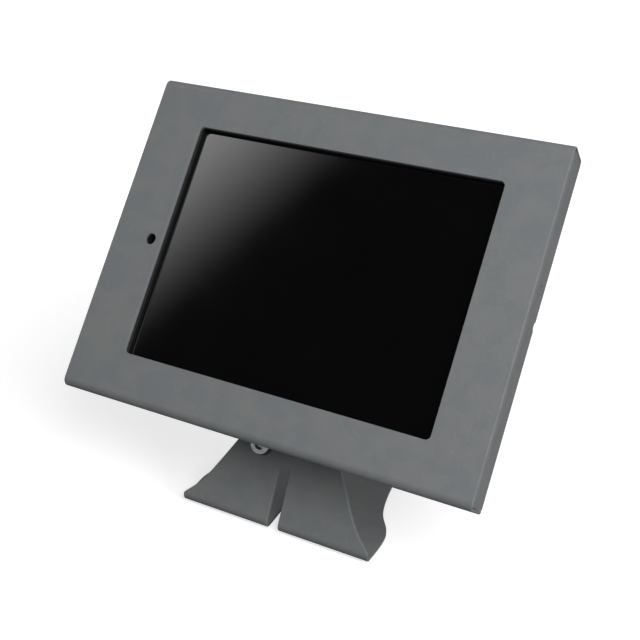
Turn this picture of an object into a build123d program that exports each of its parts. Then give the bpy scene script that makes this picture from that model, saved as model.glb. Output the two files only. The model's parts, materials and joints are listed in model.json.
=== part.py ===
# Tablet security kiosk stand: a steel enclosure with a window holds a 9.7-inch-class tablet,
# tilts on a friction hinge and is carried by one bent plate that stands on or bolts to a counter.
# Millimetres, +Z up, the screen faces -Y. The origin is the middle of the underside.
import os
from math import cos, radians, sin

from build123d import *

os.makedirs("parts", exist_ok=True)

# Fits, seams and cuts
seam = 0.3                # gap along a folded, laid or welded seam
running_clearance = 0.05  # round a pin, bolt or shaft
swing_gap = 0.4           # round a piece that swings or turns
edge_round = 0.4          # broken edges that show as thin highlights
face_end_round = 0.8      # right and left edges of the enclosure's face
overrun = 20.0            # how far a cut runs past the face it opens

# Counter plate and neck, one bent plate on a thin pad
plate = 2.5               # sheet of the stand
plate_bend = 5.0          # outer radius of the bend between base and neck
pad_thickness = 1.0
pad_inset = 2.0
neck_lean = 31.0          # degrees from upright
bend_from_origin = 61.3   # bend's centre, in front of the origin
bend_half_width = 65.4
foot_half_width = 66.3    # widest stretch, just behind the bend
waist_half_width = 50.0
rear_half_width = 60.0
base_length = 131.3       # bend's centre to the rear edge
rear_corner = 14.0
# distance behind the bend, as shares of base_length, and how far the side still has to go
# from the waist to the widest stretch, as shares of that difference
shoulder_share = 0.115
flank_shares = ((0.1965, 0.908), (0.2727, 0.52), (0.3145, 0.356), (0.435, 0.104))
waist_share = 0.58
heel_share = 0.88
neck_half_width = 27.0
neck_length = 153.5
neck_corner = 6.0
# distance up the neck, as shares of flare_length, and how far the side still has to go
# from the neck's own half-width to the bend's, as shares of that difference
flare_length = 80.0
flare_shares = ((0.0825, 0.828), (0.3125, 0.503), (0.5375, 0.247))

# Cable slot through the neck, the bend and the base
slot_width = 8.0
slot_up_neck = 36.7
slot_end_in_base = 40.0   # in front of the origin
counter_hole_radius = 3.25
counter_hole_spacing = 76.0

# Key lock on the neck
lock_across = -18.7
lock_up_neck = 45.3
lock_head_radius = 6.6
lock_head = 3.4
lock_body_radius = 4.5
lock_face_round = 0.6
keyway_radius = 3.7
keyway_depth = 3.2
key_post_radius = 2.0
key_post_recess = 0.3
plug_shaft_radius = 2.5
plug_square = 4.0
collar_radius = 7.4
collar_thickness = 1.2
lock_nut_radius = 6.0
cam_thickness = 2.0
cam_reach = 13.0
cam_tip_radius = 3.4
cam_screw_radius = 1.2
cam_screw_head_radius = 3.0
cam_screw_head = 1.4
cam_screw_length = 6.0

# Hinge carrier, hooked over the neck's top and held by the lock's cam
carrier_seam = 0.2        # between the neck's rear face and the carrier
carrier_foot_half_width = 29.0
carrier_half_width = 23.0
carrier_foot_end = 40.8   # up the neck
carrier_foot_height = 18.0
carrier_taper = 14.0
carrier_corner = 3.0
lock_notch_radius = 6.5
hook_half_width = 17.0
hook_lip = 7.0
yoke_foot = 13.0          # the ear's foot below the hinge, along the neck

# Friction hinge between the stand and the enclosure
hinge_below_top = 7.9     # from the neck's top edge, along the neck
hinge_from_neck = 9.2
hinge_from_cover = 8.0
hinge_below_middle = 5.0
hinge_bolt_radius = 3.0
hinge_ear_radius = 6.2
hinge_plate = 2.5
bracket_half_width = 27.4
bracket_half_height = 13.0
washer_thickness = 1.0
washer_radius = 6.0
washer_play = 0.15
bolt_head_radius = 5.0
bolt_head = 5.0
bolt_socket_width = 5.0
bolt_socket_depth = 3.0
hinge_nut_width = 10.0
hinge_nut = 5.0
bracket_screw_across = 15.0
bracket_screw_up = 9.0

# Tablet, which sets the enclosure's width and height
tablet_width = 240.0
tablet_height = 169.5
tablet_thickness = 7.5
tablet_corner = 12.0
tablet_back_round = 3.0
glass_thickness = 1.0
glass_below_face = 5.6
camera_radius = 3.0
camera_depth = 1.8

# Enclosure
screen_lean = 41.3        # degrees from upright
shell_past_ends = 14.0    # from the tablet's end to the shell's end
shell_across = -0.7       # the shell's middle from the hinge's middle
shell_past_sides = 19.25
shell_depth = 25.0
sheet = 2.0
shell_bend = 5.0          # outer radius of the folds along the top and the bottom
shell_rear_round = 1.8    # outer edge of the top and bottom walls at the rear
rear_break = 1.2          # the end plate's and the cover's corners
window_in_ends = 19.8     # from the tablet's end to the window
window_in_sides = 9.75
window_corner = 3.0
window_centre = (1.5, 0.5)
camera_hole_radius = 3.5
camera_from_tablet_end = 11.5
camera_below_middle = 2.5

# Soft pieces round the tablet
gasket_inset = 0.4
gasket_side = 13.0
gasket_top = 8.0
gasket_camera_radius = 4.2
rail_thickness = 3.5
rail_depth = 14.0
rail_in_ends = 12.0
end_stop_height = 60.0
back_pad_width = 40.0
back_pad_height = 15.0
back_pad_in_ends = 40.0   # from the tablet's end to the pad's middle
back_pad_in_sides = 24.75

# Rear cover, its posts and screws
post_in_ends = 18.0       # from the shell's end to the post's middle
post_in_sides = 10.0
post_width = 7.0
screw_radius = 2.0
screw_depth = 9.0
screw_head_radius = 3.8
screw_head = 2.2
screw_socket_width = 2.5
screw_socket_depth = 1.3
screw_nut_width = 7.0
screw_nut = 3.0
cable_hole_radius = 10.0
cable_hole_below_middle = 55.0
grommet_bore_radius = 7.0
grommet_lip = 2.5
grommet_lip_thickness = 1.5

# Side door
knuckle_radius = 2.3
door_pin_radius = 1.2
door_pin_length = 13.0
door_pin_recess = 0.3
knuckle_end_gap = 5.5
door_corner = 0.8
door_slit_length = 33.4
door_slit_width = 3.3
door_slit_up = 9.2
door_slit_below_face = 14.3
finger_notch_radius = 2.5
finger_notch_up = 3.8
door_pad_gap = 0.5        # between the closed door's foam and the tablet
door_pad_depth = 8.7
door_pad_length = 36.0
door_pad_from_bottom = 66.0
door_pad_from_top = 58.0

# Spring catch that holds the door shut, riveted to the rear cover
catch_leaf = 0.8
catch_width = 12.0
catch_from_top = 29.0
catch_foot = 11.0
catch_foot_end = 6.5      # from the door's inner face
catch_knee = 1.5          # the leaf's knee, from the door's inner face
catch_knee_height = 5.5
catch_tip_height = 9.0
catch_tip_back = 2.0
rivet_radius = 1.6
rivet_head_radius = 3.0
rivet_head = 1.0


def leaning(origin, lean):
    """Plane across the object whose normal points out to the front and up."""
    tilt = radians(lean)
    return Plane(origin=origin, x_dir=(1, 0, 0), z_dir=(0, -cos(tilt), sin(tilt)))


def section_of(plane, across=0):
    """Plane across X, with local x up the given plane and local y out of it."""
    return Plane(origin=plane.from_local_coords((across, 0, 0)), x_dir=plane.y_dir, z_dir=plane.x_dir)


def layer(plane, centre, out=0):
    """The given plane moved to a centre on it and out along its normal."""
    return Plane(origin=plane.from_local_coords((*centre, out)), x_dir=plane.x_dir, z_dir=plane.z_dir)


def finish(built, name):
    """Label a finished piece and write its file."""
    built.part.label = name
    export_step(built.part, f"parts/{name}.step")


# Sizes that follow from the tablet and the neck
shell_width = tablet_width + 2 * shell_past_ends
shell_height = tablet_height + 2 * shell_past_sides
half_width = shell_width / 2
half_height = shell_height / 2
window_width = tablet_width - 2 * window_in_ends
window_height = tablet_height - 2 * window_in_sides
post_across = half_width - post_in_ends
post_up = half_height - post_in_sides
back_pad_across = tablet_width / 2 - back_pad_in_ends
back_pad_up = tablet_height / 2 - back_pad_in_sides
catch_up = half_height - catch_from_top
hinge_up_neck = neck_length - hinge_below_top

# Reference planes
base_bottom = pad_thickness
bend_height = base_bottom + plate_bend
neck_foot = (
    0,
    -bend_from_origin - plate_bend * cos(radians(neck_lean)),
    bend_height + plate_bend * sin(radians(neck_lean)),
)
neck_plane = leaning(neck_foot, neck_lean)
lock_plane = layer(neck_plane, (lock_across, lock_up_neck))
hinge_point = neck_plane.from_local_coords((0, hinge_up_neck, hinge_from_neck))
tilt_plane = leaning(hinge_point, screen_lean)
face_point = tilt_plane.from_local_coords(
    (shell_across, hinge_below_middle, hinge_from_cover + shell_depth)
)
face_plane = leaning(face_point, screen_lean)
counter_plane = Plane.XY.offset(base_bottom)
cover_plane = face_plane.offset(-shell_depth)

# Stand plate: base, bend and neck
bend_y = -bend_from_origin
flank = foot_half_width - waist_half_width
flare = bend_half_width - neck_half_width
rear_y = bend_y + base_length
waist_y = bend_y + waist_share * base_length
base_side = [(bend_half_width, bend_y), (foot_half_width, bend_y + shoulder_share * base_length)]
base_side += [
    (waist_half_width + out * flank, bend_y + back * base_length) for back, out in flank_shares
]
base_side += [(waist_half_width, waist_y), (rear_half_width, bend_y + heel_share * base_length)]
neck_side = [(bend_half_width, 0)]
neck_side += [(neck_half_width + out * flare, up * flare_length) for up, out in flare_shares]
neck_side += [(neck_half_width, flare_length)]


# Waisted plan of the base, from the bend's centre back to the rear edge, and the pad's inside it
outlines = {}
for inset in (0, pad_inset):
    side = [(across - inset, along) for across, along in base_side]
    with BuildSketch(Plane.XY) as outline:
        with BuildLine():
            Spline(*side, tangents=[(0.1, 1), (0.1, 1)])
            Line(side[-1], (rear_half_width - inset, rear_y - inset))
            Line((rear_half_width - inset, rear_y - inset), (0, rear_y - inset))
            Line((0, rear_y - inset), (0, bend_y))
            Line((0, bend_y), side[0])
        make_face()
        fillet(vertices().group_by(Axis.Y)[-1].group_by(Axis.X)[-1], rear_corner - inset)
        mirror(about=Plane.YZ)
    outlines[inset] = outline.sketch

with BuildPart() as stand_plate:
    with BuildSketch(counter_plane):
        add(outlines[0])
    extrude(amount=plate)
    with BuildSketch(Plane(origin=(0, bend_y, bend_height), x_dir=(0, 1, 0), z_dir=(1, 0, 0))):
        Circle(plate_bend)
        Circle(plate_bend - plate, mode=Mode.SUBTRACT)
        with BuildLine():
            Polyline(
                (0, 0),
                (0, -overrun),
                (-overrun, -overrun),
                (-overrun, overrun * sin(radians(neck_lean)) / cos(radians(neck_lean))),
                close=True,
            )
        make_face(mode=Mode.INTERSECT)
    extrude(amount=bend_half_width, both=True)
    with BuildSketch(neck_plane):
        with BuildLine():
            Spline(*neck_side, tangents=[(-0.9, 1), (0, 1)])
            Line(neck_side[-1], (neck_half_width, neck_length))
            Line((neck_half_width, neck_length), (0, neck_length))
            Line((0, neck_length), (0, 0))
            Line((0, 0), neck_side[0])
        make_face()
        fillet(vertices().group_by(Axis.Y)[-1].group_by(Axis.X)[-1], neck_corner)
        mirror(about=Plane.YZ)
    extrude(amount=-plate)
    with BuildSketch(neck_plane):
        with Locations((0, (slot_up_neck - overrun) / 2)):
            SlotOverall(slot_up_neck + overrun, slot_width, rotation=90)
        with Locations((lock_across, lock_up_neck)):
            Circle(lock_body_radius + running_clearance)
    extrude(amount=plate, both=True, mode=Mode.SUBTRACT)
    slot_reach = bend_from_origin + overrun - slot_end_in_base
    slot_plane = Plane((0, -slot_end_in_base - slot_reach / 2, base_bottom))
    with BuildSketch(slot_plane):
        SlotOverall(slot_reach, slot_width, rotation=90)
    extrude(amount=plate_bend + plate, mode=Mode.SUBTRACT)
    with BuildSketch(counter_plane):
        with GridLocations(counter_hole_spacing, counter_hole_spacing, 2, 2):
            Circle(counter_hole_radius)
    extrude(amount=plate, mode=Mode.SUBTRACT)
    neck_face = stand_plate.faces().sort_by(Axis(neck_plane.origin, neck_plane.z_dir))[-1]
    up_neck = Axis(neck_plane.origin, neck_plane.y_dir)
    fillet(neck_face.outer_wire().edges().sort_by(up_neck)[2:], edge_round)
finish(stand_plate, "stand_plate")

with BuildPart() as base_pad:
    with BuildSketch(Plane.XY):
        add(outlines[pad_inset])
        with Locations((0, -slot_end_in_base - slot_reach / 2)):
            SlotOverall(slot_reach + pad_inset, slot_width + pad_inset, rotation=90, mode=Mode.SUBTRACT)
        with GridLocations(counter_hole_spacing, counter_hole_spacing, 2, 2):
            Circle(counter_hole_radius, mode=Mode.SUBTRACT)
    extrude(amount=pad_thickness)
finish(base_pad, "base_pad")

# Hinge carrier: a plate behind the neck with a hook over its top and two ears past its sides
carrier_front = -plate - carrier_seam
carrier_back = carrier_front - hinge_plate
ear_inside = bracket_half_width + washer_thickness + 2 * washer_play
ear_outside = ear_inside + hinge_plate
carrier_top = neck_length + seam + hinge_plate
foot_top = carrier_foot_end + carrier_foot_height
yoke_low = hinge_up_neck - yoke_foot
with BuildPart() as hinge_carrier:
    with BuildSketch(neck_plane.offset(carrier_back)):
        with BuildLine():
            Polyline(
                (0, carrier_foot_end),
                (carrier_foot_half_width, carrier_foot_end),
                (carrier_foot_half_width, foot_top),
                (carrier_half_width, foot_top + carrier_taper),
                (carrier_half_width, yoke_low - carrier_taper),
                (ear_outside, yoke_low),
                (ear_outside, carrier_top),
                (0, carrier_top),
                close=True,
            )
        make_face()
        fillet(vertices().group_by(Axis.Y)[0].group_by(Axis.X)[-1], carrier_corner)
        mirror(about=Plane.YZ)
        with Locations((lock_across, lock_up_neck)):
            Circle(lock_notch_radius, mode=Mode.SUBTRACT)
        with Locations((lock_across, lock_up_neck - overrun / 2)):
            Rectangle(2 * lock_notch_radius, overrun, mode=Mode.SUBTRACT)
    extrude(amount=hinge_plate)
    with BuildSketch(section_of(neck_plane)):
        with BuildLine():
            Polyline(
                (carrier_top, carrier_back),
                (carrier_top, seam + hinge_plate),
                (neck_length - hook_lip, seam + hinge_plate),
                (neck_length - hook_lip, seam),
                (neck_length + seam, seam),
                (neck_length + seam, carrier_back),
                close=True,
            )
        make_face()
    extrude(amount=hook_half_width, both=True)
    for ear_start in (-ear_outside, ear_inside):
        with BuildSketch(section_of(neck_plane, ear_start)):
            with BuildLine():
                Polyline(
                    (hinge_up_neck - hinge_ear_radius, hinge_from_neck),
                    (yoke_low, carrier_front),
                    (yoke_low, carrier_back),
                    (carrier_top, carrier_back),
                    (carrier_top, carrier_front),
                    (hinge_up_neck + hinge_ear_radius, hinge_from_neck),
                )
                ThreePointArc(
                    (hinge_up_neck + hinge_ear_radius, hinge_from_neck),
                    (hinge_up_neck, hinge_from_neck + hinge_ear_radius),
                    (hinge_up_neck - hinge_ear_radius, hinge_from_neck),
                )
            make_face()
            with Locations((hinge_up_neck, hinge_from_neck)):
                Circle(hinge_bolt_radius + running_clearance, mode=Mode.SUBTRACT)
        extrude(amount=hinge_plate)
finish(hinge_carrier, "hinge_carrier")

# Key lock: collar, barrel with an annular keyway, plug with a centre post, nut, cam and screw
lock_front = collar_thickness + lock_head
keyway_floor = lock_front - keyway_depth
nut_back = carrier_back + carrier_seam
cam_front = carrier_back - seam
cam_back = cam_front - cam_thickness
with BuildPart() as lock_collar:
    with BuildSketch(lock_plane):
        Circle(collar_radius)
        Circle(lock_body_radius + running_clearance, mode=Mode.SUBTRACT)
    extrude(amount=collar_thickness)
    fillet(lock_collar.edges().group_by(Axis(lock_plane.origin, lock_plane.z_dir))[-1], edge_round)
finish(lock_collar, "lock_collar")

with BuildPart() as lock_barrel:
    with BuildSketch(lock_plane.offset(collar_thickness)):
        Circle(lock_head_radius)
    extrude(amount=lock_head)
    fillet(lock_barrel.edges().group_by(Axis(lock_plane.origin, lock_plane.z_dir))[-1], lock_face_round)
    with BuildSketch(lock_plane.offset(nut_back)):
        Circle(lock_body_radius)
    extrude(amount=collar_thickness - nut_back)
    with BuildSketch(lock_plane.offset(keyway_floor)):
        Circle(keyway_radius)
    extrude(amount=overrun, mode=Mode.SUBTRACT)
    with BuildSketch(lock_plane):
        Circle(plug_shaft_radius + running_clearance)
    extrude(amount=overrun, both=True, mode=Mode.SUBTRACT)
finish(lock_barrel, "lock_barrel")

with BuildPart() as lock_nut:
    with BuildSketch(lock_plane.offset(nut_back)):
        Circle(lock_nut_radius)
        Circle(lock_body_radius + running_clearance, mode=Mode.SUBTRACT)
    extrude(amount=-plate - nut_back)
finish(lock_nut, "lock_nut")

with BuildPart() as lock_plug:
    with BuildSketch(lock_plane.offset(cam_front)):
        Circle(plug_shaft_radius)
    extrude(amount=keyway_floor - cam_front)
    with BuildSketch(lock_plane.offset(keyway_floor)):
        Circle(key_post_radius)
    extrude(amount=keyway_depth - key_post_recess)
    fillet(lock_plug.edges().group_by(Axis(lock_plane.origin, lock_plane.z_dir))[-1], edge_round)
    with BuildSketch(lock_plane.offset(cam_back)):
        Rectangle(plug_square, plug_square)
    extrude(amount=cam_thickness)
    with BuildSketch(lock_plane.offset(cam_back)):
        Circle(cam_screw_radius + running_clearance)
    extrude(amount=cam_screw_length, mode=Mode.SUBTRACT)
finish(lock_plug, "lock_plug")

with BuildPart() as lock_cam:
    with BuildSketch(lock_plane.offset(cam_back)):
        Circle(lock_body_radius)
        with Locations((cam_reach, 0)):
            Circle(cam_tip_radius)
        with Locations((cam_reach / 2, 0)):
            Rectangle(cam_reach, 2 * cam_tip_radius)
        Rectangle(plug_square, plug_square, mode=Mode.SUBTRACT)
    extrude(amount=cam_thickness)
finish(lock_cam, "lock_cam")

with BuildPart() as cam_screw:
    with BuildSketch(lock_plane.offset(cam_back)):
        Circle(cam_screw_head_radius)
    extrude(amount=-cam_screw_head)
    with BuildSketch(lock_plane.offset(cam_back)):
        Circle(cam_screw_radius)
    extrude(amount=cam_screw_length - seam)
finish(cam_screw, "cam_screw")

# Hinge bolt, nut and friction washers
hinge_axis_plane = Plane(origin=hinge_point, x_dir=tilt_plane.y_dir, z_dir=(1, 0, 0))
with BuildPart() as hinge_bolt:
    with BuildSketch(hinge_axis_plane.offset(-ear_outside)):
        Circle(hinge_bolt_radius)
    extrude(amount=2 * ear_outside + hinge_nut)
    with BuildSketch(hinge_axis_plane.offset(-ear_outside)):
        Circle(bolt_head_radius)
    extrude(amount=-bolt_head)
    fillet(hinge_bolt.edges().group_by(Axis.X)[0], edge_round)
    with BuildSketch(hinge_axis_plane.offset(-ear_outside - bolt_head)):
        RegularPolygon(bolt_socket_width / 2, 6, major_radius=False)
    extrude(amount=bolt_socket_depth, mode=Mode.SUBTRACT)
finish(hinge_bolt, "hinge_bolt")

with BuildPart() as hinge_nut_piece:
    with BuildSketch(hinge_axis_plane.offset(ear_outside)):
        RegularPolygon(hinge_nut_width / 2, 6, major_radius=False)
        Circle(hinge_bolt_radius + running_clearance, mode=Mode.SUBTRACT)
    extrude(amount=hinge_nut)
finish(hinge_nut_piece, "hinge_nut")

with BuildPart() as friction_washers:
    for washer_start in (bracket_half_width + washer_play, -ear_inside + washer_play):
        with BuildSketch(hinge_axis_plane.offset(washer_start)):
            Circle(washer_radius)
            Circle(hinge_bolt_radius + running_clearance, mode=Mode.SUBTRACT)
        extrude(amount=washer_thickness)
finish(friction_washers, "friction_washers")

# Hinge bracket on the rear cover, its screws and the nuts inside the cover
bracket_screws_plane = layer(tilt_plane, (0, 0), hinge_from_cover)
with BuildPart() as hinge_bracket:
    with BuildSketch(bracket_screws_plane):
        RectangleRounded(2 * bracket_half_width, 2 * bracket_half_height, carrier_corner)
        with GridLocations(2 * bracket_screw_across, 2 * bracket_screw_up, 2, 2):
            Circle(screw_radius + running_clearance, mode=Mode.SUBTRACT)
    extrude(amount=-hinge_plate)
    for ear_start in (-bracket_half_width, bracket_half_width - hinge_plate):
        with BuildSketch(section_of(tilt_plane, ear_start)):
            with BuildLine():
                Polyline(
                    (hinge_ear_radius, 0),
                    (bracket_half_height - carrier_corner, hinge_from_cover - hinge_plate),
                    (bracket_half_height - carrier_corner, hinge_from_cover),
                    (carrier_corner - bracket_half_height, hinge_from_cover),
                    (carrier_corner - bracket_half_height, hinge_from_cover - hinge_plate),
                    (-hinge_ear_radius, 0),
                )
                ThreePointArc((-hinge_ear_radius, 0), (0, -hinge_ear_radius), (hinge_ear_radius, 0))
            make_face()
            Circle(hinge_bolt_radius + running_clearance, mode=Mode.SUBTRACT)
        extrude(amount=hinge_plate)
finish(hinge_bracket, "hinge_bracket")

with BuildPart() as bracket_screws:
    head_plane = bracket_screws_plane.offset(-hinge_plate)
    with BuildSketch(head_plane):
        with GridLocations(2 * bracket_screw_across, 2 * bracket_screw_up, 2, 2):
            Circle(screw_head_radius)
    extrude(amount=-screw_head)
    fillet(bracket_screws.edges().group_by(Axis(head_plane.origin, head_plane.z_dir))[0], edge_round)
    with BuildSketch(head_plane):
        with GridLocations(2 * bracket_screw_across, 2 * bracket_screw_up, 2, 2):
            Circle(screw_radius)
    extrude(amount=hinge_plate + sheet + screw_nut)
    with BuildSketch(head_plane.offset(-screw_head)):
        with GridLocations(2 * bracket_screw_across, 2 * bracket_screw_up, 2, 2):
            RegularPolygon(screw_socket_width / 2, 6, major_radius=False)
    extrude(amount=screw_socket_depth, mode=Mode.SUBTRACT)
finish(bracket_screws, "bracket_screws")

with BuildPart() as bracket_nuts:
    with BuildSketch(bracket_screws_plane.offset(sheet)):
        with GridLocations(2 * bracket_screw_across, 2 * bracket_screw_up, 2, 2):
            RegularPolygon(screw_nut_width / 2, 6, major_radius=False)
            Circle(screw_radius + running_clearance, mode=Mode.SUBTRACT)
    extrude(amount=screw_nut)
finish(bracket_nuts, "bracket_nuts")

# Front shell: face with the window, folded back along the top and the bottom
knuckle_across = half_width - knuckle_radius
knuckle_below_face = sheet + swing_gap + knuckle_radius
camera_place = (
    window_centre[0] - tablet_width / 2 + camera_from_tablet_end,
    window_centre[1] - camera_below_middle,
)
knuckle_point = face_plane.from_local_coords((knuckle_across, 0, -knuckle_below_face))
knuckle_plane = Plane(origin=knuckle_point, x_dir=face_plane.z_dir, z_dir=face_plane.y_dir)
out_axis = Axis(face_plane.origin, face_plane.z_dir)
with BuildPart() as front_shell:
    with BuildSketch(section_of(face_plane)):
        with Locations((0, -shell_depth / 2)):
            Rectangle(shell_height, shell_depth)
        fillet(vertices().group_by(Axis.Y)[-1], shell_bend)
        fillet(vertices().group_by(Axis.Y)[0], shell_rear_round)
    extrude(amount=half_width, both=True)
    with BuildSketch(section_of(face_plane)):
        with Locations((0, -sheet - shell_depth / 2)):
            Rectangle(shell_height - 2 * sheet, shell_depth)
        fillet(vertices().group_by(Axis.Y)[-1], shell_bend - sheet)
    extrude(amount=half_width + overrun, both=True, mode=Mode.SUBTRACT)
    with BuildSketch(face_plane):
        with Locations(window_centre):
            RectangleRounded(window_width, window_height, window_corner)
        with Locations(camera_place):
            Circle(camera_hole_radius)
    extrude(amount=-overrun, mode=Mode.SUBTRACT)
    shown_face = front_shell.faces().sort_by(out_axis)[-1]
    end_edges = shown_face.edges().group_by(Axis.X)[0] + shown_face.edges().group_by(Axis.X)[-1]
    opening_edges = ShapeList([edge for wire in shown_face.inner_wires() for edge in wire.edges()])
    fillet(opening_edges, edge_round)
    fillet(end_edges, face_end_round)
    # folds squared off inside at the right end, where the door's plate turns
    with BuildSketch(section_of(face_plane, half_width - 2 * knuckle_radius - swing_gap)):
        with Locations((0, -sheet - shell_bend / 2)):
            Rectangle(shell_height - 2 * sheet, shell_bend)
    extrude(amount=overrun, mode=Mode.SUBTRACT)
    with BuildSketch(knuckle_plane):
        Circle(door_pin_radius + running_clearance)
    extrude(amount=half_height + overrun, both=True, mode=Mode.SUBTRACT)
finish(front_shell, "front_shell")

with BuildPart() as left_end_plate:
    with BuildSketch(section_of(face_plane, -half_width)):
        with Locations((0, -(sheet + seam + shell_depth) / 2)):
            Rectangle(2 * (half_height - sheet - seam), shell_depth - sheet - seam)
        fillet(vertices().group_by(Axis.Y)[-1], shell_bend - sheet)
        fillet(vertices().group_by(Axis.Y)[0], rear_break)
    extrude(amount=sheet)
finish(left_end_plate, "left_end_plate")

# Rear cover with its posts, screws and the cable grommet
cover_left = -half_width + sheet + seam
cover_right = half_width - sheet - swing_gap
hinge_place = (-shell_across, -hinge_below_middle)
cable_place = (-shell_across, -cable_hole_below_middle)
catch_door_side = half_width - sheet
rivet_place = (catch_door_side - catch_foot_end - catch_foot / 2, catch_up)
with BuildPart() as rear_cover:
    with BuildSketch(cover_plane):
        with Locations(((cover_left + cover_right) / 2, 0)):
            RectangleRounded(cover_right - cover_left, 2 * (half_height - sheet - seam), rear_break)
        with GridLocations(2 * post_across, 2 * post_up, 2, 2):
            Circle(screw_radius + running_clearance, mode=Mode.SUBTRACT)
        with Locations(hinge_place):
            with GridLocations(2 * bracket_screw_across, 2 * bracket_screw_up, 2, 2):
                Circle(screw_radius + running_clearance, mode=Mode.SUBTRACT)
        with Locations(cable_place):
            Circle(cable_hole_radius, mode=Mode.SUBTRACT)
        with Locations(rivet_place):
            Circle(rivet_radius + running_clearance, mode=Mode.SUBTRACT)
    extrude(amount=sheet)
finish(rear_cover, "rear_cover")

with BuildPart() as cover_posts:
    with BuildSketch(cover_plane.offset(sheet)):
        with GridLocations(2 * post_across, 2 * post_up, 2, 2):
            RegularPolygon(post_width / 2, 6, major_radius=False)
    extrude(amount=shell_depth - 2 * sheet)
    with BuildSketch(cover_plane.offset(sheet)):
        with GridLocations(2 * post_across, 2 * post_up, 2, 2):
            Circle(screw_radius + running_clearance)
    extrude(amount=screw_depth, mode=Mode.SUBTRACT)
finish(cover_posts, "cover_posts")

with BuildPart() as cover_screws:
    with BuildSketch(cover_plane):
        with GridLocations(2 * post_across, 2 * post_up, 2, 2):
            Circle(screw_head_radius)
    extrude(amount=-screw_head)
    fillet(cover_screws.edges().group_by(out_axis)[0], edge_round)
    with BuildSketch(cover_plane):
        with GridLocations(2 * post_across, 2 * post_up, 2, 2):
            Circle(screw_radius)
    extrude(amount=screw_depth)
    with BuildSketch(cover_plane.offset(-screw_head)):
        with GridLocations(2 * post_across, 2 * post_up, 2, 2):
            RegularPolygon(screw_socket_width / 2, 6, major_radius=False)
    extrude(amount=screw_socket_depth, mode=Mode.SUBTRACT)
finish(cover_screws, "cover_screws")

grommet_plane = layer(cover_plane, cable_place)
with BuildPart() as cable_grommet:
    with BuildSketch(grommet_plane):
        Circle(cable_hole_radius)
    extrude(amount=sheet)
    for lip_start in (-grommet_lip_thickness, sheet):
        with BuildSketch(grommet_plane.offset(lip_start)):
            Circle(cable_hole_radius + grommet_lip)
        extrude(amount=grommet_lip_thickness)
    with BuildSketch(grommet_plane):
        Circle(grommet_bore_radius)
    extrude(amount=overrun, both=True, mode=Mode.SUBTRACT)
    fillet(cable_grommet.edges().group_by(out_axis)[0], edge_round)
finish(cable_grommet, "cable_grommet")

# Tablet: glass, case and camera
glass_back = -glass_below_face - glass_thickness
tablet_back = -glass_below_face - tablet_thickness
with BuildPart() as tablet_glass:
    with BuildSketch(face_plane.offset(glass_back)):
        with Locations(window_centre):
            RectangleRounded(tablet_width, tablet_height, tablet_corner)
    extrude(amount=glass_thickness)
finish(tablet_glass, "tablet_glass")

with BuildPart() as tablet_case:
    with BuildSketch(face_plane.offset(tablet_back)):
        with Locations(window_centre):
            RectangleRounded(tablet_width, tablet_height, tablet_corner)
    extrude(amount=tablet_thickness - glass_thickness)
    fillet(tablet_case.edges().group_by(out_axis)[0], tablet_back_round)
    with BuildSketch(face_plane.offset(glass_back)):
        with Locations(camera_place):
            Circle(camera_radius + running_clearance)
    extrude(amount=-camera_depth, mode=Mode.SUBTRACT)
finish(tablet_case, "tablet_case")

with BuildPart() as tablet_camera:
    with BuildSketch(face_plane.offset(glass_back)):
        with Locations(camera_place):
            Circle(camera_radius)
    extrude(amount=-camera_depth)
finish(tablet_camera, "tablet_camera")

# Gasket between the face and the glass
with BuildPart() as window_gasket:
    with BuildSketch(face_plane.offset(-glass_below_face)):
        with Locations(window_centre):
            RectangleRounded(
                window_width + 2 * gasket_side,
                window_height + 2 * gasket_top,
                window_corner + gasket_top / 2,
            )
            RectangleRounded(
                window_width + 2 * gasket_inset,
                window_height + 2 * gasket_inset,
                window_corner,
                mode=Mode.SUBTRACT,
            )
        with Locations(camera_place):
            Circle(gasket_camera_radius, mode=Mode.SUBTRACT)
    extrude(amount=glass_below_face - sheet)
finish(window_gasket, "window_gasket")

# Foam that seats the tablet: rails above and below, a stop at the left, pads on the rear cover
rail_centre = tablet_height / 2 + seam + rail_thickness / 2
rail_length = tablet_width - 2 * rail_in_ends
with BuildPart() as tablet_rails:
    with BuildSketch(face_plane.offset(-sheet)):
        with Locations(window_centre):
            with GridLocations(rail_length, 2 * rail_centre, 1, 2):
                Rectangle(rail_length, rail_thickness)
    extrude(amount=-rail_depth)
finish(tablet_rails, "tablet_rails")

stop_left = -half_width + sheet
stop_right = window_centre[0] - tablet_width / 2 - seam
with BuildPart() as end_stop:
    with BuildSketch(face_plane.offset(-sheet)):
        with Locations(((stop_left + stop_right) / 2, 0)):
            Rectangle(stop_right - stop_left, end_stop_height)
    extrude(amount=-rail_depth)
finish(end_stop, "end_stop")

with BuildPart() as back_pads:
    with BuildSketch(cover_plane.offset(sheet)):
        with GridLocations(2 * back_pad_across, 2 * back_pad_up, 2, 2):
            RectangleRounded(back_pad_width, back_pad_height, carrier_corner)
    extrude(amount=shell_depth - sheet + tablet_back)
finish(back_pads, "back_pads")

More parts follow.
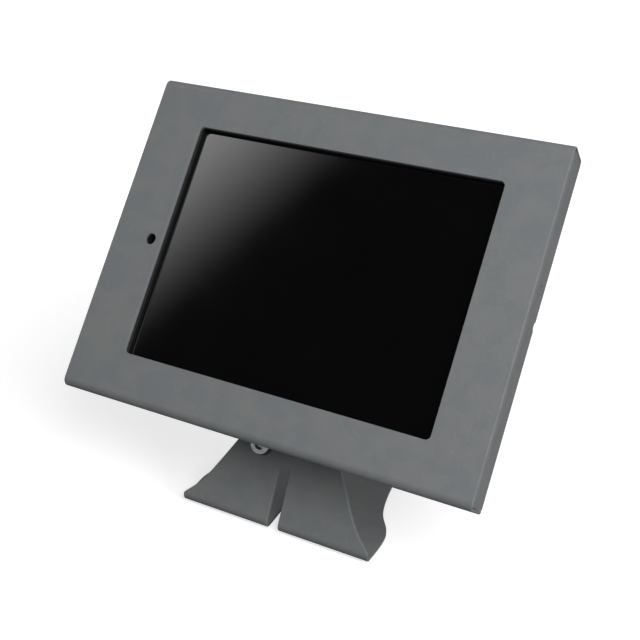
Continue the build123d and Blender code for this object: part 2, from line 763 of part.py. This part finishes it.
# Side door: a plate with a rolled knuckle along its front edge, its pins and its foam
knuckle_half_length = half_height - knuckle_end_gap
door_half_height = half_height - sheet - swing_gap
with BuildPart() as side_door:
    with BuildSketch(section_of(face_plane, half_width)):
        with Locations((0, -(knuckle_below_face + shell_depth) / 2)):
            Rectangle(2 * door_half_height, shell_depth - knuckle_below_face)
        fillet(vertices().group_by(Axis.Y)[0], door_corner)
        with Locations((door_slit_up, -door_slit_below_face)):
            SlotOverall(door_slit_length, door_slit_width, mode=Mode.SUBTRACT)
        with Locations((finger_notch_up, -shell_depth)):
            Circle(finger_notch_radius, mode=Mode.SUBTRACT)
    extrude(amount=-sheet)
    with BuildSketch(knuckle_plane):
        Circle(knuckle_radius)
    extrude(amount=knuckle_half_length, both=True)
    with BuildSketch(knuckle_plane):
        Circle(door_pin_radius + running_clearance)
    extrude(amount=half_height, both=True, mode=Mode.SUBTRACT)
finish(side_door, "side_door")

pin_outer_end = half_height - door_pin_recess
with BuildPart() as door_pins:
    for pin_start in (pin_outer_end - door_pin_length, -pin_outer_end):
        with BuildSketch(knuckle_plane.offset(pin_start)):
            Circle(door_pin_radius)
        extrude(amount=door_pin_length)
finish(door_pins, "door_pins")

door_pad_front = knuckle_below_face + knuckle_radius + seam
door_pad_thickness = half_width - sheet - door_pad_gap - window_centre[0] - tablet_width / 2
door_pad_low = door_pad_from_bottom - half_height
door_pad_high = half_height - door_pad_from_top
with BuildPart() as door_pads:
    with BuildSketch(section_of(face_plane, half_width - sheet)):
        with Locations(
            (door_pad_low, -door_pad_front - door_pad_depth / 2),
            (door_pad_high, -door_pad_front - door_pad_depth / 2),
        ):
            Rectangle(door_pad_length, door_pad_depth)
    extrude(amount=-door_pad_thickness)
finish(door_pads, "door_pads")

# Spring catch inside the cover, and its rivet
catch_plane = Plane(
    origin=cover_plane.from_local_coords((catch_door_side, catch_up, sheet)),
    x_dir=cover_plane.x_dir,
    z_dir=-cover_plane.y_dir,
)
with BuildPart() as door_catch:
    with BuildSketch(catch_plane):
        with BuildLine():
            Polyline(
                (-catch_foot_end - catch_foot, catch_leaf / 2),
                (-catch_foot_end, catch_leaf / 2),
                (-catch_knee, catch_knee_height),
                (-catch_knee - catch_tip_back, catch_tip_height),
            )
        trace(line_width=catch_leaf)
    extrude(amount=catch_width / 2, both=True)
    with BuildSketch(layer(cover_plane, rivet_place)):
        Circle(rivet_radius + running_clearance)
    extrude(amount=overrun, mode=Mode.SUBTRACT)
finish(door_catch, "door_catch")

rivet_plane = layer(cover_plane, rivet_place)
with BuildPart() as catch_rivet:
    with BuildSketch(rivet_plane):
        Circle(rivet_radius)
    extrude(amount=sheet + catch_leaf)
    with BuildSketch(rivet_plane):
        Circle(rivet_head_radius)
    extrude(amount=-rivet_head)
    with BuildSketch(rivet_plane.offset(sheet + catch_leaf)):
        Circle(rivet_head_radius)
    extrude(amount=rivet_head)
finish(catch_rivet, "catch_rivet")
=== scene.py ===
# Tablet security kiosk stand: finishes, small fittings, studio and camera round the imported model.
# Metres, +Z up, the screen faces -Y, and the origin is the middle of the underside.
import json
from math import cos, radians, sin

import bmesh
import bpy
from mathutils import Matrix, Vector


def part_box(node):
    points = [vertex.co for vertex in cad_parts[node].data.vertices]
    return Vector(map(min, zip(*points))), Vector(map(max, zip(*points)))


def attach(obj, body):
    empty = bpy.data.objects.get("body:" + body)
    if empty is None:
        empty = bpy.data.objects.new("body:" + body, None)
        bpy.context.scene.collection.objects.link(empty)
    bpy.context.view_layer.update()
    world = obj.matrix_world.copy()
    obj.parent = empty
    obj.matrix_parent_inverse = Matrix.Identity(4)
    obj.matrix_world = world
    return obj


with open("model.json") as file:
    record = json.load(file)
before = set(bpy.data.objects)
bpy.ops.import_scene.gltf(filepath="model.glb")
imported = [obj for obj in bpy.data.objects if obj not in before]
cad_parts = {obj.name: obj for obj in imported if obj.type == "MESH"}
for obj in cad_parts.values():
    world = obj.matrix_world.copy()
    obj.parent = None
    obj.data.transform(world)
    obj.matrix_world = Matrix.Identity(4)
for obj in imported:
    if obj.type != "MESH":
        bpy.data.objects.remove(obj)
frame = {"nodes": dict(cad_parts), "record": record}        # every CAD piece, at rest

mm = 0.001
scene = bpy.context.scene
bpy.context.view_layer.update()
print("frame loaded with", len(frame["nodes"]), "pieces")

joints = {joint["name"]: joint for joint in frame["record"]["behaviour"]["joints"]}

# The screen's own directions: across, up the screen and out of it
screenLean = radians(41.3)
screenAcross = Vector((1, 0, 0))
screenUp = Vector((0, sin(screenLean), cos(screenLean)))
screenOut = Vector((0, -cos(screenLean), sin(screenLean)))


def toLinear(hexColour):
    parts = [int(hexColour[i:i + 2], 16) / 255 for i in (1, 3, 5)]
    return [p / 12.92 if p <= 0.04045 else ((p + 0.055) / 1.055) ** 2.4 for p in parts] + [1]


def perFeature(sizeInMm):
    return 1 / (sizeInMm * mm)


# Adds one node. Settings are its properties, inputs are values or the sockets that feed it.
def addNode(tree, kind, settings=None, inputs=None):
    node = tree.nodes.new(kind)
    for name, value in (settings or {}).items():
        setattr(node, name, value)
    for name, value in (inputs or {}).items():
        if isinstance(value, bpy.types.NodeSocket):
            tree.links.new(value, node.inputs[name])
        else:
            node.inputs[name].default_value = value
    return node


# A Mix node's sockets share their names, so they are reached by number
mixFactor = 0
numberA, numberB = 2, 3
colourA, colourB = 6, 7
mixedColour = 2


def newMaterial(name):
    material = bpy.data.materials.new(name)
    material.use_nodes = True
    material.node_tree.nodes.clear()
    return material, material.node_tree


def finishMaterial(tree, shader):
    addNode(tree, "ShaderNodeOutputMaterial", inputs={"Surface": shader.outputs[0]})


# Textured powder coat on steel, sprayed and oven cured: a satin graphite grey with a fine
# pebbled skin, and soft clouds where the coat lies thicker
def powderCoat():
    look = {
        "thin": "#676b6d",
        "thick": "#6e6f6f",
        "fleck": "#7e8182",
        "cloudMm": 15,
        "grainMm": 1.3,
        "pebbleMm": 0.75,
        "pebbleHeightMm": 0.05,
        "roughLow": 0.5,
        "roughHigh": 0.64,
    }
    material, tree = newMaterial("powderCoatedSteel")
    place = addNode(tree, "ShaderNodeTexCoord").outputs["Object"]
    clouds = addNode(tree, "ShaderNodeTexNoise", inputs={
        "Vector": place, "Scale": perFeature(look["cloudMm"]), "Detail": 4.0, "Roughness": 0.62,
        "Distortion": 0.4})
    grain = addNode(tree, "ShaderNodeTexNoise", inputs={
        "Vector": place, "Scale": perFeature(look["grainMm"]), "Detail": 2.0, "Roughness": 0.6})
    pebble = addNode(tree, "ShaderNodeTexNoise", inputs={
        "Vector": place, "Scale": perFeature(look["pebbleMm"]), "Detail": 2.0})
    cloudMask = addNode(tree, "ShaderNodeMapRange", {"interpolation_type": "SMOOTHSTEP"}, {
        "Value": clouds.outputs["Fac"], "From Min": 0.36, "From Max": 0.66})
    fleckMask = addNode(tree, "ShaderNodeMapRange", {"interpolation_type": "SMOOTHSTEP"}, {
        "Value": grain.outputs["Fac"], "From Min": 0.56, "From Max": 0.8, "To Max": 0.5})
    coat = addNode(tree, "ShaderNodeMix", {"data_type": "RGBA"}, {
        mixFactor: cloudMask.outputs["Result"],
        colourA: toLinear(look["thin"]), colourB: toLinear(look["thick"])})
    flecked = addNode(tree, "ShaderNodeMix", {"data_type": "RGBA"}, {
        mixFactor: fleckMask.outputs["Result"],
        colourA: coat.outputs[mixedColour], colourB: toLinear(look["fleck"])})
    rough = addNode(tree, "ShaderNodeMapRange", inputs={
        "Value": grain.outputs["Fac"], "To Min": look["roughLow"], "To Max": look["roughHigh"]})
    bump = addNode(tree, "ShaderNodeBump", inputs={
        "Height": pebble.outputs["Fac"], "Strength": 0.5, "Distance": look["pebbleHeightMm"] * mm})
    finishMaterial(tree, addNode(tree, "ShaderNodeBsdfPrincipled", inputs={
        "Base Color": flecked.outputs[mixedColour], "Roughness": rough.outputs["Result"],
        "Normal": bump.outputs["Normal"], "IOR": 1.5, "Specular IOR Level": 0.35}))
    return material


# Zinc plating on turned and pressed steel: a cool silver with a faint haze from the bath
def zincPlate():
    look = {"bright": "#c2c4c6", "hazy": "#9b9ea2", "hazeMm": 2.2, "roughLow": 0.24, "roughHigh": 0.42}
    material, tree = newMaterial("zincPlatedSteel")
    place = addNode(tree, "ShaderNodeTexCoord").outputs["Object"]
    haze = addNode(tree, "ShaderNodeTexNoise", inputs={
        "Vector": place, "Scale": perFeature(look["hazeMm"]), "Detail": 3.0})
    colour = addNode(tree, "ShaderNodeMix", {"data_type": "RGBA"}, {
        mixFactor: haze.outputs["Fac"],
        colourA: toLinear(look["bright"]), colourB: toLinear(look["hazy"])})
    rough = addNode(tree, "ShaderNodeMapRange", inputs={
        "Value": haze.outputs["Fac"], "To Min": look["roughLow"], "To Max": look["roughHigh"]})
    finishMaterial(tree, addNode(tree, "ShaderNodeBsdfPrincipled", inputs={
        "Base Color": colour.outputs[mixedColour], "Metallic": 1.0, "Roughness": rough.outputs["Result"]}))
    return material


# Nickel and chrome on a die-cast lock: bright, with fine turning rings round the lock's axis
def lockChrome():
    look = {"clean": "#d4d4d2", "worn": "#a3a3a1", "ringMm": 0.35, "wearMm": 1.4, "ringHeightMm": 0.012}
    waveNodeFactor = 20       # the node multiplies its Scale by this
    material, tree = newMaterial("chromedDieCasting")
    axis = Vector(joints["lock_turn"]["axis"])
    turn = axis.to_track_quat("Z", "Y").to_matrix().inverted()
    centre = turn @ Vector(joints["lock_turn"]["pos_m"])
    place = addNode(tree, "ShaderNodeTexCoord").outputs["Object"]
    level = addNode(tree, "ShaderNodeMapping", {"vector_type": "POINT"}, {
        "Vector": place, "Rotation": turn.to_euler(), "Location": -centre})
    rings = addNode(tree, "ShaderNodeTexWave", {"wave_type": "RINGS", "rings_direction": "Z"}, {
        "Vector": level.outputs["Vector"], "Scale": perFeature(look["ringMm"]) / waveNodeFactor,
        "Distortion": 0.3})
    wear = addNode(tree, "ShaderNodeTexNoise", inputs={
        "Vector": place, "Scale": perFeature(look["wearMm"]), "Detail": 3.0})
    colour = addNode(tree, "ShaderNodeMix", {"data_type": "RGBA"}, {
        mixFactor: wear.outputs["Fac"],
        colourA: toLinear(look["clean"]), colourB: toLinear(look["worn"])})
    rough = addNode(tree, "ShaderNodeMapRange", inputs={
        "Value": wear.outputs["Fac"], "To Min": 0.14, "To Max": 0.34})
    bump = addNode(tree, "ShaderNodeBump", inputs={
        "Height": rings.outputs["Fac"], "Strength": 0.3, "Distance": look["ringHeightMm"] * mm})
    finishMaterial(tree, addNode(tree, "ShaderNodeBsdfPrincipled", inputs={
        "Base Color": colour.outputs[mixedColour], "Metallic": 1.0, "Roughness": rough.outputs["Result"],
        "Normal": bump.outputs["Normal"]}))
    return material


# Moulded nylon washer: near black, slightly greasy sheen
def nylonCollar():
    look = {"dark": "#191a1b", "pale": "#26282a", "grainMm": 0.6, "grainHeightMm": 0.02}
    material, tree = newMaterial("mouldedBlackNylon")
    place = addNode(tree, "ShaderNodeTexCoord").outputs["Object"]
    grain = addNode(tree, "ShaderNodeTexNoise", inputs={
        "Vector": place, "Scale": perFeature(look["grainMm"]), "Detail": 2.0})
    colour = addNode(tree, "ShaderNodeMix", {"data_type": "RGBA"}, {
        mixFactor: grain.outputs["Fac"],
        colourA: toLinear(look["dark"]), colourB: toLinear(look["pale"])})
    bump = addNode(tree, "ShaderNodeBump", inputs={
        "Height": grain.outputs["Fac"], "Strength": 0.4, "Distance": look["grainHeightMm"] * mm})
    finishMaterial(tree, addNode(tree, "ShaderNodeBsdfPrincipled", inputs={
        "Base Color": colour.outputs[mixedColour], "Roughness": 0.42, "Normal": bump.outputs["Normal"]}))
    return material


# Moulded synthetic rubber: black, matt, with a bloom that greys it in patches
def mouldedRubber():
    look = {"black": "#0d0e0e", "bloom": "#1f2020", "bloomMm": 7, "grainMm": 0.5, "grainHeightMm": 0.03}
    material, tree = newMaterial("mouldedBlackRubber")
    place = addNode(tree, "ShaderNodeTexCoord").outputs["Object"]
    bloom = addNode(tree, "ShaderNodeTexNoise", inputs={
        "Vector": place, "Scale": perFeature(look["bloomMm"]), "Detail": 4.0})
    grain = addNode(tree, "ShaderNodeTexNoise", inputs={
        "Vector": place, "Scale": perFeature(look["grainMm"]), "Detail": 1.0})
    bloomMask = addNode(tree, "ShaderNodeMapRange", inputs={
        "Value": bloom.outputs["Fac"], "From Min": 0.45, "From Max": 0.75})
    colour = addNode(tree, "ShaderNodeMix", {"data_type": "RGBA"}, {
        mixFactor: bloomMask.outputs["Result"],
        colourA: toLinear(look["black"]), colourB: toLinear(look["bloom"])})
    bump = addNode(tree, "ShaderNodeBump", inputs={
        "Height": grain.outputs["Fac"], "Strength": 0.5, "Distance": look["grainHeightMm"] * mm})
    finishMaterial(tree, addNode(tree, "ShaderNodeBsdfPrincipled", inputs={
        "Base Color": colour.outputs[mixedColour], "Roughness": 0.72, "Normal": bump.outputs["Normal"]}))
    return material


# Closed-cell foam, cut from sheet: dull black with the cut cells showing as pits, painted darker towards
# each pit's middle as shade
def cellFoam():
    look = {"wall": "#232425", "pitShade": "#0f1010", "cellMm": 0.9, "cellDepthMm": 0.15}
    material, tree = newMaterial("closedCellFoam")
    place = addNode(tree, "ShaderNodeTexCoord").outputs["Object"]
    cells = addNode(tree, "ShaderNodeTexVoronoi", inputs={
        "Vector": place, "Scale": perFeature(look["cellMm"])})
    # Darker towards each cell's middle, where the pit sinks: painted shade
    colour = addNode(tree, "ShaderNodeMix", {"data_type": "RGBA"}, {
        mixFactor: cells.outputs["Distance"],
        colourA: toLinear(look["pitShade"]), colourB: toLinear(look["wall"])})
    bump = addNode(tree, "ShaderNodeBump", inputs={
        "Height": cells.outputs["Distance"], "Strength": 0.8, "Distance": look["cellDepthMm"] * mm})
    finishMaterial(tree, addNode(tree, "ShaderNodeBsdfPrincipled", inputs={
        "Base Color": colour.outputs[mixedColour], "Roughness": 0.95, "Normal": bump.outputs["Normal"]}))
    return material


# Cover glass over a dark screen: black, polished, with the faintest smear in its gloss
def coverGlass():
    look = {"black": "#020202", "edge": "#050505", "smearMm": 38, "roughLow": 0.035, "roughHigh": 0.075}
    material, tree = newMaterial("polishedCoverGlass")
    place = addNode(tree, "ShaderNodeTexCoord").outputs["Object"]
    smear = addNode(tree, "ShaderNodeTexNoise", inputs={
        "Vector": place, "Scale": perFeature(look["smearMm"]), "Detail": 3.0})
    colour = addNode(tree, "ShaderNodeMix", {"data_type": "RGBA"}, {
        mixFactor: smear.outputs["Fac"],
        colourA: toLinear(look["black"]), colourB: toLinear(look["edge"])})
    rough = addNode(tree, "ShaderNodeMapRange", inputs={
        "Value": smear.outputs["Fac"], "To Min": look["roughLow"], "To Max": look["roughHigh"]})
    finishMaterial(tree, addNode(tree, "ShaderNodeBsdfPrincipled", inputs={
        "Base Color": colour.outputs[mixedColour], "Roughness": rough.outputs["Result"], "IOR": 1.52,
        "Specular IOR Level": 0.9}))
    return material


# Anodised aluminium, bead blasted: soft silver, almost no grain
def anodisedAluminium():
    look = {"pale": "#b9bbbd", "dark": "#a6a8ab", "blastMm": 0.5, "blastHeightMm": 0.01}
    material, tree = newMaterial("anodisedAluminium")
    place = addNode(tree, "ShaderNodeTexCoord").outputs["Object"]
    blast = addNode(tree, "ShaderNodeTexNoise", inputs={
        "Vector": place, "Scale": perFeature(look["blastMm"]), "Detail": 2.0})
    colour = addNode(tree, "ShaderNodeMix", {"data_type": "RGBA"}, {
        mixFactor: blast.outputs["Fac"],
        colourA: toLinear(look["pale"]), colourB: toLinear(look["dark"])})
    bump = addNode(tree, "ShaderNodeBump", inputs={
        "Height": blast.outputs["Fac"], "Strength": 0.3, "Distance": look["blastHeightMm"] * mm})
    finishMaterial(tree, addNode(tree, "ShaderNodeBsdfPrincipled", inputs={
        "Base Color": colour.outputs[mixedColour], "Metallic": 1.0, "Roughness": 0.38,
        "Normal": bump.outputs["Normal"]}))
    return material


# Coated lens glass: almost black, with a violet cast painted towards its outer edge, where the glass turns
# edge on to the view: a painted reflection of the coating
def lensGlass():
    look = {"middle": "#030305", "rimReflection": "#15121f"}
    material, tree = newMaterial("coatedLensGlass")
    edge = addNode(tree, "ShaderNodeLayerWeight", inputs={"Blend": 0.3})
    # Violet painted where the surface turns edge on to the view: a painted reflection
    colour = addNode(tree, "ShaderNodeMix", {"data_type": "RGBA"}, {
        mixFactor: edge.outputs["Facing"],
        colourA: toLinear(look["middle"]), colourB: toLinear(look["rimReflection"])})
    finishMaterial(tree, addNode(tree, "ShaderNodeBsdfPrincipled", inputs={
        "Base Color": colour.outputs[mixedColour], "Roughness": 0.06, "IOR": 1.6}))
    return material


finishes = {
    "powder_coat": powderCoat(),
    "plated_steel": zincPlate(),
    "lock_chrome": lockChrome(),
    "collar_black": nylonCollar(),
    "black_rubber": mouldedRubber(),
    "black_foam": cellFoam(),
    "screen_glass": coverGlass(),
    "tablet_aluminium": anodisedAluminium(),
    "camera_lens": lensGlass(),
}
for subpart in frame["record"]["subparts"]:
    mesh = frame["nodes"][subpart["node"]].data
    mesh.materials.clear()
    mesh.materials.append(finishes[subpart["material_slot"]])
print("finishes on", len(frame["nodes"]), "pieces")

# Thin black foam sheets on the enclosure's lower and upper walls, in the gaps below and above the side door:
# painted shade that darkens those gaps
doorGapShadeSheet = {"wallMm": 2.0, "thickMm": 0.3, "behindFaceMm": 3.5, "insetMm": 0.2, "edgeMm": 0.08}


def extent(nodeName, direction):
    along = [vertex.co.dot(direction) for vertex in frame["nodes"][nodeName].data.vertices]
    return min(along), max(along)


shellLow, shellHigh = extent("front_shell", screenUp)
shellBack, shellFront = extent("front_shell", screenOut)
doorOuter = extent("side_door", screenAcross)[1]
shadeSheetInset = doorGapShadeSheet["insetMm"] * mm
shadeSheetWide = doorGapShadeSheet["wallMm"] * mm - shadeSheetInset
shadeSheetThick = doorGapShadeSheet["thickMm"] * mm
shadeSheetLong = shellFront - shellBack - doorGapShadeSheet["behindFaceMm"] * mm - shadeSheetInset
shadeSheetMesh = bpy.data.meshes.new("doorGapShadeSheets")
shadeSheetShape = bmesh.new()
for wallFace, inward in ((shellLow + doorGapShadeSheet["wallMm"] * mm, 1), (shellHigh - doorGapShadeSheet["wallMm"] * mm, -1)):
    middle = (
        screenAcross * (doorOuter - shadeSheetInset - shadeSheetWide / 2)
        + screenUp * (wallFace + inward * shadeSheetThick / 2)
        + screenOut * (shellBack + shadeSheetInset + shadeSheetLong / 2))
    turned = Matrix((screenAcross * shadeSheetWide, screenUp * shadeSheetThick, screenOut * shadeSheetLong)).transposed()
    bmesh.ops.create_cube(shadeSheetShape, size=1, matrix=Matrix.Translation(middle) @ turned.to_4x4())
bmesh.ops.bevel(
    shadeSheetShape, geom=shadeSheetShape.edges[:], offset=doorGapShadeSheet["edgeMm"] * mm, affect="EDGES", segments=2,
    profile=0.5, material=-1)
shadeSheetShape.to_mesh(shadeSheetMesh)
shadeSheetShape.free()
shadeSheetMesh.materials.append(finishes["black_foam"])
doorGapShadeSheets = bpy.data.objects.new("doorGapShadeSheets", shadeSheetMesh)
scene.collection.objects.link(doorGapShadeSheets)
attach(doorGapShadeSheets, "enclosure")
print("door seals fitted")

# Camera: fitted to the straight edges of the photograph
cameraView = {
    "location": (0.25264, -0.49788, 0.44341),
    "right": (0.89196, 0.45212, 0.0),
    "up": (-0.22633, 0.44652, 0.86567),
    "lensMm": 58.508,
    "sensorMm": 36.0,
    "nearest": 0.01,
    "farthest": 100,
}
cameraRight = Vector(cameraView["right"]).normalized()
cameraUp = Vector(cameraView["up"]).normalized()
cameraBack = cameraRight.cross(cameraUp)
cameraData = bpy.data.cameras.new("studioCamera")
cameraData.lens = cameraView["lensMm"]
cameraData.sensor_width = cameraView["sensorMm"]
cameraData.clip_start = cameraView["nearest"]
cameraData.clip_end = cameraView["farthest"]
camera = bpy.data.objects.new("studioCamera", cameraData)
camera.matrix_world = Matrix.Translation(cameraView["location"]) @ Matrix(
    (cameraRight, cameraUp, cameraBack)).transposed().to_4x4()
scene.collection.objects.link(camera)
scene.camera = camera

# Floor: a plain pale sheet, white to the camera, that keeps the stand's soft shadow. It sends
# less light up at the stand than the camera sees, and glows more further out, where the key fades
floorLook = {
    "halfSize": 12.0,
    "colour": "#d2d2d2",
    "bounceColour": "#8e8e8e",
    "liftNear": 0.6,
    "liftFar": 0.78,
    "liftReach": (0.1, 0.6),
    "belowUnderside": 0.0002,
}
floorMesh = bpy.data.meshes.new("studioFloor")
floorShape = bmesh.new()
bmesh.ops.create_grid(floorShape, x_segments=1, y_segments=1, size=floorLook["halfSize"])
bmesh.ops.translate(floorShape, verts=floorShape.verts, vec=(0, 0, -floorLook["belowUnderside"]))
floorShape.to_mesh(floorMesh)
floorShape.free()
floor = bpy.data.objects.new("studioFloor", floorMesh)
scene.collection.objects.link(floor)
floorMaterial, floorTree = newMaterial("paleFloor")
floorPath = addNode(floorTree, "ShaderNodeLightPath")
floorSeen = addNode(floorTree, "ShaderNodeMath", {"operation": "MAXIMUM"}, {
    0: floorPath.outputs["Is Camera Ray"], 1: floorPath.outputs["Is Transmission Ray"]})
floorPlace = addNode(floorTree, "ShaderNodeTexCoord").outputs["Object"]
floorReach = addNode(floorTree, "ShaderNodeVectorMath", {"operation": "LENGTH"}, {0: floorPlace})
floorGain = addNode(floorTree, "ShaderNodeMapRange", {"interpolation_type": "SMOOTHSTEP"}, {
    "Value": floorReach.outputs["Value"], "From Min": floorLook["liftReach"][0],
    "From Max": floorLook["liftReach"][1], "To Min": floorLook["liftNear"], "To Max": floorLook["liftFar"]})
floorLift = addNode(floorTree, "ShaderNodeMath", {"operation": "MULTIPLY"}, {
    0: floorSeen.outputs[0], 1: floorGain.outputs["Result"]})
floorColour = addNode(floorTree, "ShaderNodeMix", {"data_type": "RGBA"}, {
    mixFactor: floorSeen.outputs[0],
    colourA: toLinear(floorLook["bounceColour"]), colourB: toLinear(floorLook["colour"])})
floorPaint = addNode(floorTree, "ShaderNodeBsdfDiffuse", inputs={"Color": floorColour.outputs[mixedColour]})
floorGlow = addNode(floorTree, "ShaderNodeEmission", inputs={"Strength": floorLift.outputs[0]})
finishMaterial(floorTree, addNode(floorTree, "ShaderNodeAddShader", inputs={
    0: floorPaint.outputs[0], 1: floorGlow.outputs[0]}))
floorMesh.materials.append(floorMaterial)

# Lamps: a broad soft key above the front right, near enough to fade towards the left, and a
# faint low one at the right that picks out the rounded edges
keyLamp = {"place": (0.47, -0.47, 0.72), "aim": (0.02, -0.02, 0.16), "size": 0.5, "watts": 4.9}
edgeLamp = {"from": (0.911, -0.206, 0.36), "strength": 1.3, "angle": 20, "diffuse": 0.05}
keyData = bpy.data.lights.new("keyLamp", "AREA")
keyData.shape = "DISK"
keyData.size = keyLamp["size"]
keyData.energy = keyLamp["watts"]
keyObject = bpy.data.objects.new("keyLamp", keyData)
keyObject.location = keyLamp["place"]
keyBack = Vector(keyLamp["place"]) - Vector(keyLamp["aim"])
keyObject.rotation_euler = keyBack.to_track_quat("Z", "Y").to_euler()
scene.collection.objects.link(keyObject)
edgeData = bpy.data.lights.new("edgeLamp", "SUN")
edgeData.energy = edgeLamp["strength"]
edgeData.angle = radians(edgeLamp["angle"])
edgeData.diffuse_factor = edgeLamp["diffuse"]
edgeObject = bpy.data.objects.new("edgeLamp", edgeData)
edgeObject.rotation_euler = Vector(edgeLamp["from"]).to_track_quat("Z", "Y").to_euler()
scene.collection.objects.link(edgeObject)

# Room: plain white to the camera and an even grey to the surfaces. What the screen mirrors is
# dark, but for one soft window that fades from its upper left corner towards its middle
room = {
    "seenLevel": 1.0,
    "level": 0.33,
    "mirroredLevel": 0.5,
    "darkLevel": 0.022,
    "darkCone": (17, 32),         # degrees from the direction that the screen's middle mirrors
    "windowStrength": 2.8,
    "windowFull": (-100, 75),     # mm across and up from the screen's middle, where it is brightest
    "windowGone": ((0, 75), (-100, -70)),
    "windowRamp": (-0.1, 1.3),
    "windowCone": (20, 36),
}
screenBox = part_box("tablet_glass")
screenMiddle = (screenBox[0] + screenBox[1]) / 2


def mirroredDirection(acrossMm, upMm):
    point = screenMiddle + screenAcross * acrossMm * mm + screenUp * upMm * mm
    ray = (point - Vector(cameraView["location"])).normalized()
    return ray.reflect(screenOut)


# 1 towards the given direction, falling to 0 between two angles from it
def coneMask(tree, facing, direction, angles):
    near = addNode(tree, "ShaderNodeVectorMath", {"operation": "DOT_PRODUCT"}, {
        0: facing, 1: direction})
    return addNode(tree, "ShaderNodeMapRange", {"interpolation_type": "SMOOTHSTEP"}, {
        "Value": near.outputs["Value"], "From Min": cos(radians(angles[1])),
        "From Max": cos(radians(angles[0]))}).outputs["Result"]


windowCorner = mirroredDirection(*room["windowFull"])
towardsWindow = Matrix((
    windowCorner,
    mirroredDirection(*room["windowGone"][0]),
    mirroredDirection(*room["windowGone"][1]),
)).inverted() @ Vector((1, 0, 0))
world = bpy.data.worlds.new("studioRoom")
scene.world = world
world.use_nodes = True
roomTree = world.node_tree
roomTree.nodes.clear()
facing = addNode(roomTree, "ShaderNodeTexCoord").outputs["Generated"]
windowSide = addNode(roomTree, "ShaderNodeVectorMath", {"operation": "DOT_PRODUCT"}, {
    0: facing, 1: towardsWindow})
windowGlow = addNode(roomTree, "ShaderNodeMapRange", {"interpolation_type": "SMOOTHSTEP"}, {
    "Value": windowSide.outputs["Value"], "From Min": room["windowRamp"][0],
    "From Max": room["windowRamp"][1], "To Max": room["windowStrength"]})
windowMask = coneMask(roomTree, facing, windowCorner, room["windowCone"])
darkMask = coneMask(roomTree, facing, mirroredDirection(0, 0), room["darkCone"])
around = addNode(roomTree, "ShaderNodeMix", {"data_type": "FLOAT"}, {
    mixFactor: darkMask, numberA: room["mirroredLevel"], numberB: room["darkLevel"]})
mirrored = addNode(roomTree, "ShaderNodeMath", {"operation": "MULTIPLY_ADD"}, {
    0: windowGlow.outputs["Result"], 1: windowMask, 2: around.outputs[0]})
roomPath = addNode(roomTree, "ShaderNodeLightPath")
lit = addNode(roomTree, "ShaderNodeMix", {"data_type": "FLOAT"}, {
    mixFactor: roomPath.outputs["Is Glossy Ray"], numberA: room["level"], numberB: mirrored.outputs[0]})
seen = addNode(roomTree, "ShaderNodeMix", {"data_type": "FLOAT"}, {
    mixFactor: roomPath.outputs["Is Camera Ray"], numberA: lit.outputs[0], numberB: room["seenLevel"]})
roomShader = addNode(roomTree, "ShaderNodeBackground", inputs={
    "Color": toLinear("#ffffff"), "Strength": seen.outputs[0]})
addNode(roomTree, "ShaderNodeOutputWorld", inputs={"Surface": roomShader.outputs[0]})
scene.view_settings.view_transform = "Standard"
print("camera, floor and lamps ready")
